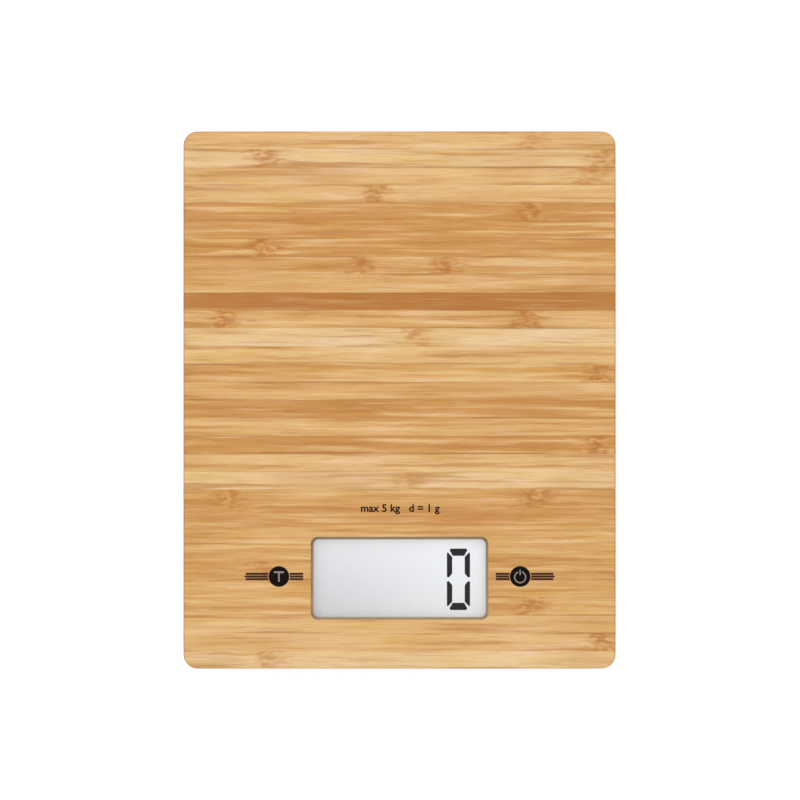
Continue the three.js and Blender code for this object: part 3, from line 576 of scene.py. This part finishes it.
def make_materials():
    return {
        "bamboo": bamboo_material(),
        "housing_plastic": moulded_material("housing_plastic", linear(58, 59, 61), 0.55),
        "foot_steel": moulded_material("foot_steel", linear(38, 38, 40), 0.5),
        "clear_lens": lens_material(),
        "foam": moulded_material("foam", linear(52, 52, 52), 0.95, grain=0.6, relief=0.15),
        "display_glass": display_material(),
        "white_plastic": moulded_material("white_plastic", linear(226, 226, 222), 0.45, 0.8, wear=1.05),
        "conductive_rubber": moulded_material("conductive_rubber", linear(60, 60, 62), 0.8, grain=0.2),
        "circuit_board": circuit_material(),
        "chip_plastic": moulded_material("chip_plastic", linear(28, 28, 30), 0.5, grain=0.15),
        "spring_steel": metal_material("spring_steel", linear(188, 190, 194), 0.3, brushed=(6, 0.3, 6)),
        "load_cell_steel": metal_material("load_cell_steel", linear(172, 175, 178), 0.38),
        "cell_metal": metal_material("cell_metal", linear(200, 202, 204), 0.25, brushed=(3, 3, 0.4)),
        "screw_zinc": metal_material("screw_zinc", linear(196, 198, 202), 0.3, brushed=(3, 3, 3)),
        "gauge_film": moulded_material("gauge_film", linear(196, 136, 62), 0.4, grain=0.5),
        "clamp_plastic": moulded_material("clamp_plastic", linear(34, 34, 36), 0.5),
        "pad_rubber": moulded_material("pad_rubber", linear(44, 44, 45), 0.85, grain=0.25),
        "button_rubber": moulded_material("button_rubber", linear(50, 51, 54), 0.75, grain=0.25),
        "red_wire": moulded_material("red_wire", linear(176, 34, 28), 0.45, grain=1.2),
        "black_wire": moulded_material("black_wire", linear(30, 30, 30), 0.45, grain=1.2),
        "white_wire": moulded_material("white_wire", linear(214, 214, 210), 0.45, grain=1.2, wear=1.05),
        "black_ink": ink_material("black_ink", linear(12, 5, 3)),
        "brown_ink": ink_material("brown_ink", linear(60, 36, 26)),
        "grey_ink": ink_material("grey_ink", linear(140, 127, 120)),
        "border_painted_shade": window_shade_material(),
        "segment_ink": ink_material("segment_ink", linear(14, 14, 16), 0.9, unevenness=0.2),
    }


# ---- Pieces on the top ----


def board_outline(inset, z):
    """A ring round the platform, drawn in by inset."""
    low, high = extent("bamboo_platform")
    width = high[0] - low[0] - 2 * inset
    length = high[1] - low[1] - 2 * inset
    return rounded_ring(width, length, BOARD_CORNER - inset, z)


def add_platform(materials):
    """The board, with its edges rounded, the window through it and a pocket below the window."""
    low, high = extent("bamboo_platform")
    top = high[2] - 2 * INK
    bottom = low[2]
    centre = (0, middle("window_lens")[1])
    pocket_top = high[2] - POCKET["depth"]

    def window_ring(grow, z):
        return rounded_ring(
            WINDOW["width"] + 2 * grow, WINDOW["length"] + 2 * grow, WINDOW["corner"] + grow, z, centre
        )

    def pocket_ring(z):
        return rounded_ring(POCKET["width"], POCKET["length"], POCKET["corner"], z, centre)

    edge = BOARD_EDGE
    lip = WINDOW["edge"]
    rings = [pocket_ring(bottom)]
    rings += [board_outline(edge * (1 - c), bottom + edge * (1 + s)) for c, s in arc(-90, 0)]
    rings += [board_outline(edge * (1 - c), top - edge * (1 - s)) for c, s in arc(0, 90)]
    rings += [window_ring(lip * (1 - c), top - lip * (1 - s)) for c, s in arc(90, 0)]
    rings += [window_ring(0, pocket_top), pocket_ring(pocket_top)]
    board = build("bamboo_board", skin(rings, closed=True))

    well_top = high[2] - TOUCH["well_depth"]
    wells = [
        skin([circle_ring(TOUCH["well_radius"], z, (x, TOUCH["y"])) for z in (bottom - 1, well_top)])
        for x in (-TOUCH["x"], TOUCH["x"])
    ]
    pilots = []
    for i in range(HOUSING_SCREWS):
        place = middle(f"housing_screw_{i + 1}")
        heights = (bottom - 1, bottom + PILOT["depth"])
        pilots.append(skin([circle_ring(PILOT["radius"], z, place, sides=24) for z in heights]))
    carve(board, wells + pilots)
    finish_piece(board, materials["bamboo"], replaces=["bamboo_platform"], angle=25)


def add_lens(materials):
    """The clear window: a wide flange under the board and a plug with a chamfered top edge."""
    low, high = extent("window_lens")
    centre = (0, middle("window_lens")[1])

    def flange(z):
        return rounded_ring(high[0] - low[0], high[1] - low[1], LENS["flange_corner"], z, centre)

    def plug(inset, z):
        return rounded_ring(
            LENS["width"] - 2 * inset, LENS["length"] - 2 * inset, LENS["corner"] - inset, z, centre
        )

    step = low[2] + LENS["flange"]
    chamfer = LENS["chamfer"]
    rings = [flange(low[2]), flange(step), plug(0, step), plug(0, high[2] - chamfer), plug(chamfer, high[2])]
    add("clear_window", skin(rings), materials["clear_lens"], replaces=["window_lens"])


def add_window_border(materials):
    """A grey-brown line round the underside of the window: painted shade that stands in for the shaded wall
    and gap between lens and board, a little wider at the rear as a painted shadow.
    """
    centre_y = middle("window_lens")[1]
    top = extent("window_lens")[0][2] - INK
    shift = (BORDER["bottom"] - BORDER["top"]) / 2
    inner_width = LENS["width"] - 2 * BORDER["side"]
    inner_length = LENS["length"] - BORDER["top"] - BORDER["bottom"]

    def outer(z):
        return rounded_ring(LENS["width"], LENS["length"], LENS["corner"], z, (0, centre_y))

    def inner(z):
        return rounded_ring(inner_width, inner_length, BORDER["corner"], z, (0, centre_y + shift))

    rings = [inner(top - INK), outer(top - INK), outer(top), inner(top)]
    add("window_border", skin(rings, closed=True), materials["border_painted_shade"])


def segment_outlines():
    """The six lit bars of the digit 0, as (x, y) outlines about the digit's centre."""
    half_x = DIGIT["width"] / 2
    half_y = DIGIT["length"] / 2
    inner_x = half_x - DIGIT["upright"]
    inner_y = half_y - DIGIT["level"]
    waist = DIGIT["waist"]
    left_end = [
        (-half_x + LEVEL_END["outer"], half_y),
        (-half_x + LEVEL_END["point"], half_y - LEVEL_END["point_drop"]),
        (-inner_x + LEVEL_END["inner"], inner_y),
    ]
    level = left_end + [(-x, y) for x, y in reversed(left_end)]
    upright = [
        (-half_x, inner_y + UPRIGHT_END["outer"]),
        (-half_x, waist + UPRIGHT_HEEL["outer"]),
        (-half_x + UPRIGHT_HEEL["flat_in"], waist),
        (-half_x + UPRIGHT_HEEL["flat_end"], waist),
        (-inner_x, waist + UPRIGHT_HEEL["inner"]),
        (-inner_x, inner_y - UPRIGHT_END["inner"]),
        (-half_x + UPRIGHT_END["flat_in"], inner_y + UPRIGHT_END["outer"]),
        (-half_x + UPRIGHT_END["peak_in"], inner_y + UPRIGHT_END["peak"]),
    ]
    outlines = []
    for sign_y in (1, -1):
        outlines.append([(x, sign_y * y) for x, y in level][::sign_y])
        for sign_x in (1, -1):
            outlines.append([(sign_x * x, sign_y * y) for x, y in upright][::sign_x * sign_y])
    return outlines


def add_digit(materials):
    """A seven-segment 0 just above the display glass."""
    base = extent("lcd_glass")[1][2] + INK / 3
    names = ("top", "upper_left", "upper_right", "bottom", "lower_left", "lower_right")
    for name, outline in zip(names, segment_outlines()):
        moved = [(x + DIGIT["x"], y + DIGIT["y"]) for x, y in outline]
        shape = plate(moved, base, base + INK)
        add(f"digit_{name}", shape, materials["segment_ink"])


def stripe_outline(offset, side, end, tip):
    """One line of the three beside a touch mark. side is the direction away from the disc, 1 or -1."""
    low = offset - STRIPE["thickness"] / 2
    high = offset + STRIPE["thickness"] / 2
    start = STRIPE["start"]
    heights = (high, (low + high) / 2, low)
    points = [(math.sqrt(start**2 - y**2), y) for y in heights]
    points += [(end, low), (tip, (low + high) / 2), (end, high)]
    return [(side * x, y) for x, y in points][::side]


def add_touch_mark(name, x, materials):
    """A printed disc with three lines to its left and right."""
    top = extent("bamboo_platform")[1][2]
    printed = top - INK
    outward = 1 if x > 0 else -1
    centre = (x, TOUCH["y"])
    disc = skin([circle_ring(TOUCH["radius"], z, centre, sides=64) for z in (printed - 2 * INK, printed)])
    add(f"{name}_disc", disc, materials["black_ink"])
    for index in (-1, 0, 1):
        offset = index * STRIPE["pitch"]
        slant = STRIPE["tip"] if index == 0 else STRIPE["outer_end"]
        ends = {outward: (STRIPE["outer_end"], slant), -outward: (STRIPE["inner_end"], STRIPE["inner_end"])}
        for side, (end, tip) in ends.items():
            outline = [(px + x, py + TOUCH["y"]) for px, py in stripe_outline(offset, side, end, tip)]
            place = "outer" if side == outward else "inner"
            shape = plate(outline, printed - 2 * INK, printed)
            add(f"{name}_{place}_line_{index + 2}", shape, materials["brown_ink"])


def add_tare_letter(materials):
    """The T of the tare mark."""
    top = extent("bamboo_platform")[1][2]
    half = LETTER["height"] / 2
    under = half - LETTER["bar"]
    stem = LETTER["stem"] / 2
    reach = LETTER["width"] / 2
    right = [(stem, -half), (stem, under), (reach, under), (reach, half)]
    outline = right + [(-x, y) for x, y in reversed(right)]
    moved = [(x - TOUCH["x"], y + TOUCH["y"]) for x, y in outline]
    add("tare_letter", plate(moved, top - 2 * INK, top), materials["grey_ink"])


def add_power_symbol(materials):
    """An open ring with a short bar in its gap."""
    top = extent("bamboo_platform")[1][2]
    gap = POWER["gap"]
    stroke = POWER["stroke"] / 2
    steps = 40
    centre = (TOUCH["x"], TOUCH["y"] - POWER["drop"])
    angles = [math.radians(90 + gap / 2 + (360 - gap) * i / steps) for i in range(steps + 1)]

    def side(reach):
        return [(centre[0] + reach * math.cos(a), centre[1] + reach * math.sin(a)) for a in angles]

    ring = side(POWER["radius"] + stroke) + side(POWER["radius"] - stroke)[::-1]
    add("power_ring", plate(ring, top - 2 * INK, top), materials["grey_ink"])
    low = POWER["bar_bottom"]
    high = POWER["bar_top"]
    bar = [(-stroke, low), (stroke, low), (stroke, high), (-stroke, high)]
    moved = [(x + centre[0], y + TOUCH["y"]) for x, y in bar]
    add("power_bar", plate(moved, top - 2 * INK, top), materials["grey_ink"])


def add_capacity_text(materials):
    """The scale's capacity and division in plain letters above the window."""
    top = extent("bamboo_platform")[1][2] - INK
    curve = bpy.data.curves.new("capacity_text", "FONT")
    curve.body = "max 5 kg   d = 1 g"
    curve.align_x = "CENTER"
    curve.align_y = "CENTER"
    curve.size = TEXT["size"]
    curve.offset = TEXT["weight"]
    curve.resolution_u = 4
    curve.extrude = INK / 2
    letters = bpy.data.objects.new("capacity_letters", curve)
    letters.scale = (MM, MM, MM)
    letters.location = (TEXT["x"] * MM, TEXT["y"] * MM, (top - INK / 2) * MM)
    bpy.context.scene.collection.objects.link(letters)
    bpy.context.view_layer.update()
    mesh = bpy.data.meshes.new_from_object(letters.evaluated_get(bpy.context.evaluated_depsgraph_get()))
    mesh.transform(letters.matrix_world)
    bpy.data.objects.remove(letters)
    text = bpy.data.objects.new("capacity_text", mesh)
    bpy.context.scene.collection.objects.link(text)
    finish_piece(text, materials["black_ink"])


# ---- Pieces below ----


def turned(profile, centre):
    """A lathe shape from (radius, z) pairs, closed by a tiny flat at each end."""
    return skin([circle_ring(max(radius, TINY), z, centre) for radius, z in profile])


def foot_profile(foot, pad):
    """A steel cup that holds the pad, with a stem and a bore for its screw."""
    low, high = extent(foot)
    radius = (high[0] - low[0]) / 2
    pad_low, pad_high = extent(pad)
    seat = pad_high[2]
    recess = (pad_high[0] - pad_low[0]) / 2 + FOOT["gap"]
    rim = low[2]
    shoulder = FOOT["shoulder"]
    stem = FOOT["stem"]
    cup = [
        (0, seat), (recess, seat), (recess, rim + 0.1), (recess + 0.1, rim), (radius - FOOT["flare"], rim),
        (radius - 0.15, rim + 0.1), (radius, rim + 0.4), (radius, shoulder - 0.3),
        (radius - 0.1, shoulder - 0.1), (radius - 0.3, shoulder),
    ]
    fillet = FOOT["fillet"]
    neck = [(stem + fillet, shoulder), (stem + 0.1, shoulder + 0.1), (stem, shoulder + fillet)]
    bore = FOOT_BORE["radius"]
    bottom = FOOT_BORE["bottom"]
    return cup + neck + [(stem, high[2]), (bore, high[2]), (bore, bottom), (0, bottom)]


def pad_profile(pad):
    """A rubber disc with a shallow dish, a rounded edge and a small groove at its top."""
    low, high = extent(pad)
    radius = (high[0] - low[0]) / 2
    base = low[2]
    dish = PAD["dish"]
    return [
        (0, base + PAD["dish_depth"]), (dish, base + PAD["dish_depth"]), (dish + 0.2, base),
        (radius - PAD["edge"], base), (radius - 0.35, base + 0.08), (radius - 0.1, base + 0.3),
        (radius, base + 0.6), (radius, high[2] - PAD["groove"]), (radius - 0.1, high[2]), (0, high[2]),
    ]


def add_feet(materials):
    for corner in CORNERS:
        body = f"{corner}_foot"
        foot = f"foot_{corner}"
        pad = f"foot_pad_{corner}"
        shell = turned(foot_profile(foot, pad), middle(foot))
        add(f"foot_shell_{corner}", shell, materials["foot_steel"], body, [foot])
        rubber = turned(pad_profile(pad), middle(foot))
        add(f"foot_rubber_{corner}", rubber, materials["pad_rubber"], body, [pad])


def add_load_cell(corner, materials):
    """A fixed frame, and a tongue with its strain gauge."""
    node = f"load_cell_{corner}"
    low, high = extent(node)
    x, y = middle(node)
    outward = 1 if y > 0 else -1
    root = (high[1] - low[1]) / 2 - LOAD_CELL["bar"]
    steel = materials["load_cell_steel"]
    through = (low[2] - 1, high[2] + 1)

    def rows(start, end, steps):
        """Rising places along Y between two distances outwards from the foot."""
        return sorted(y + outward * (start + (end - start) * i / steps) for i in range(steps + 1))

    def bend(piece):
        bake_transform(piece)

    width = high[0] - low[0]
    length = high[1] - low[1]
    heights = (low[2], high[2])
    outer = skin([rounded_ring(width, length, LOAD_CELL["corner"], z, (x, y)) for z in heights])
    window_width = 2 * (LOAD_CELL["tongue"] + LOAD_CELL["slot"])
    window = bar_along_y(window_width, rows(-root - LOAD_CELL["slot"], root, 1), *through, x)
    holder = build(f"load_cell_frame_{corner}", outer)
    carve(holder, [window])
    finish_piece(holder, steel, replaces=[node])

    bar = bar_along_y(2 * LOAD_CELL["tongue"], rows(root, -root, LOAD_CELL["steps"]), *heights, x)
    hole = skin([circle_ring(LOAD_CELL["hole"], z, (x, y), sides=24) for z in through])
    tongue = build(f"load_cell_tongue_{corner}", bar)
    carve(tongue, [hole])
    finish_piece(tongue, steel, body=None)
    bend(tongue)
    bend(add_gauge(corner, materials))


def add_gauge(corner, materials):
    """A strain gauge: a thin film under a domed drop of sealant, on the tongue below it."""
    node = f"strain_gauge_{corner}"
    low, high = extent(node)
    x, y = middle(node)
    steps = GAUGE["steps"]
    places = [low[1] + (high[1] - low[1]) * i / steps for i in range(steps + 1)]
    film = bar_along_y(high[0] - low[0], places, low[2], low[2] + GAUGE["film"], x)
    reach_x, reach_y = GAUGE["drop"]
    base = GAUGE["film"] / 2
    rings = []
    for inward, upward in arc(0, 88, 6):
        height = low[2] + base + upward * (GAUGE["drop_height"] - base)
        ring = circle_ring(inward, height)
        rings.append([(x + px * reach_x, y + py * reach_y, z) for px, py, z in ring])
    gauge = build(f"gauge_film_{corner}", together(film, skin(rings)))
    finish_piece(gauge, materials["gauge_film"], body=None, replaces=[node])
    return gauge


def add_unit_button(materials):
    """A rubber button with a shallow dish for the fingertip, and a flange that keeps it in the housing."""
    node = "unit_button"
    low, high = extent(node)
    flange = (high[0] - low[0]) / 2
    base = low[2]
    radius = BUTTON["radius"]
    dish = BUTTON["dish"]
    neck = BUTTON["neck"]
    profile = [
        (0, base + 0.25), (dish - 1.2, base + 0.2), (dish, base + 0.05), (dish + 0.4, base),
        (radius - 0.25, base + 0.06), (radius - 0.06, base + 0.2), (radius, base + 0.4),
        (radius, neck - 0.05), (radius + 0.05, neck), (flange, neck), (flange, high[2]), (0, high[2]),
    ]
    cap = turned(profile, middle(node))
    add("unit_button_cap", cap, materials["button_rubber"], "unit_button", [node])


def dress_frame(materials):
    """Gives every CAD node that still shows its material and fine rounded edges."""
    slots = {row["node"]: row["material_slot"] for row in frame["record"]["subparts"]}
    for name, node in frame["nodes"].items():
        node.data.materials.clear()
        node.data.materials.append(materials[slots[name]])
        bevel = node.modifiers.new("fine_edges", "BEVEL")
        bevel.width = FINE_EDGE * MM
        bevel.segments = 2
        bevel.limit_method = "ANGLE"
        bevel.angle_limit = math.radians(35)
        smooth(node)


# ---- Floor, light and camera ----


def add_floor():
    """A wide pale floor. The camera sees it a little brighter than it is, so that it looks evenly lit."""
    g = Graph("pale_floor")
    x, y, z = g.place()
    mottle = g.noise(g.vector(x, y, z), scale=0.02, detail=2)
    matte = g.node("BsdfDiffuse", {0: (0.84, 0.84, 0.84, 1)}).outputs[0]
    seen = g.node("Emission", {0: (1, 1, 1, 1), 1: g.math("MULTIPLY_ADD", mottle, 0.01, 0.46)}).outputs[0]
    lit = g.node("AddShader", {0: matte, 1: seen}).outputs[0]
    camera_ray = g.node("LightPath").outputs["Is Camera Ray"]
    material = g.end(g.node("MixShader", {0: camera_ray, 1: matte, 2: lit}).outputs[0])
    floor = build("floor", plate([(x, y) for x, y, _ in circle_ring(FLOOR_RADIUS, 0)], -5, 0))
    floor.data.materials.append(material)


def add_sky():
    """Soft studio light: an even dome, brighter overhead."""
    world = bpy.data.worlds.new("studio")
    world.use_nodes = True
    nodes = world.node_tree.nodes
    links = world.node_tree.links
    nodes.clear()
    position = nodes.new("ShaderNodeTexCoord").outputs["Generated"]
    split = nodes.new("ShaderNodeSeparateXYZ")
    links.new(position, split.inputs[0])
    ramp = nodes.new("ShaderNodeMapRange")
    for index, value in ((1, 0.0), (2, 1.0), (3, 0.72), (4, 1.06)):
        ramp.inputs[index].default_value = value
    links.new(split.outputs[2], ramp.inputs[0])
    background = nodes.new("ShaderNodeBackground")
    background.inputs[0].default_value = (1, 1, 1, 1)
    links.new(ramp.outputs[0], background.inputs[1])
    output = nodes.new("ShaderNodeOutputWorld")
    links.new(background.outputs[0], output.inputs[0])
    bpy.context.scene.world = world


def add_lamp():
    """A broad soft lamp from the upper left, which gives the edges their form."""
    light = bpy.data.lights.new("key_light", "AREA")
    light.size = 0.9
    light.energy = 2.2
    lamp = bpy.data.objects.new("key_light", light)
    lamp.location = (-0.5, 0.7, 1.1)
    direction = -lamp.location
    lamp.rotation_euler = direction.to_track_quat("-Z", "Y").to_euler()
    bpy.context.scene.collection.objects.link(lamp)


def add_camera():
    """Straight down on the platform, with the rear edge at the top of the picture."""
    lens = bpy.data.cameras.new("camera")
    lens.lens = CAMERA["lens"]
    lens.sensor_width = CAMERA["sensor"]
    distance = CAMERA["view_width"] * MM * CAMERA["lens"] / CAMERA["sensor"]
    camera = bpy.data.objects.new("camera", lens)
    camera.location = (CAMERA["x"] * MM, 0, cad_high.z + distance)
    bpy.context.scene.collection.objects.link(camera)
    bpy.context.scene.camera = camera


def main():
    scene = bpy.context.scene
    scene.view_settings.view_transform = "Standard"
    add_camera()
    add_sky()
    add_lamp()
    add_floor()
    materials = make_materials()
    dress_frame(materials)
    add_platform(materials)
    add_lens(materials)
    add_window_border(materials)
    add_digit(materials)
    add_touch_mark("tare", -TOUCH["x"], materials)
    add_touch_mark("power", TOUCH["x"], materials)
    add_tare_letter(materials)
    add_power_symbol(materials)
    add_capacity_text(materials)
    add_feet(materials)
    for corner in CORNERS:
        add_load_cell(corner, materials)
    add_unit_button(materials)


main()
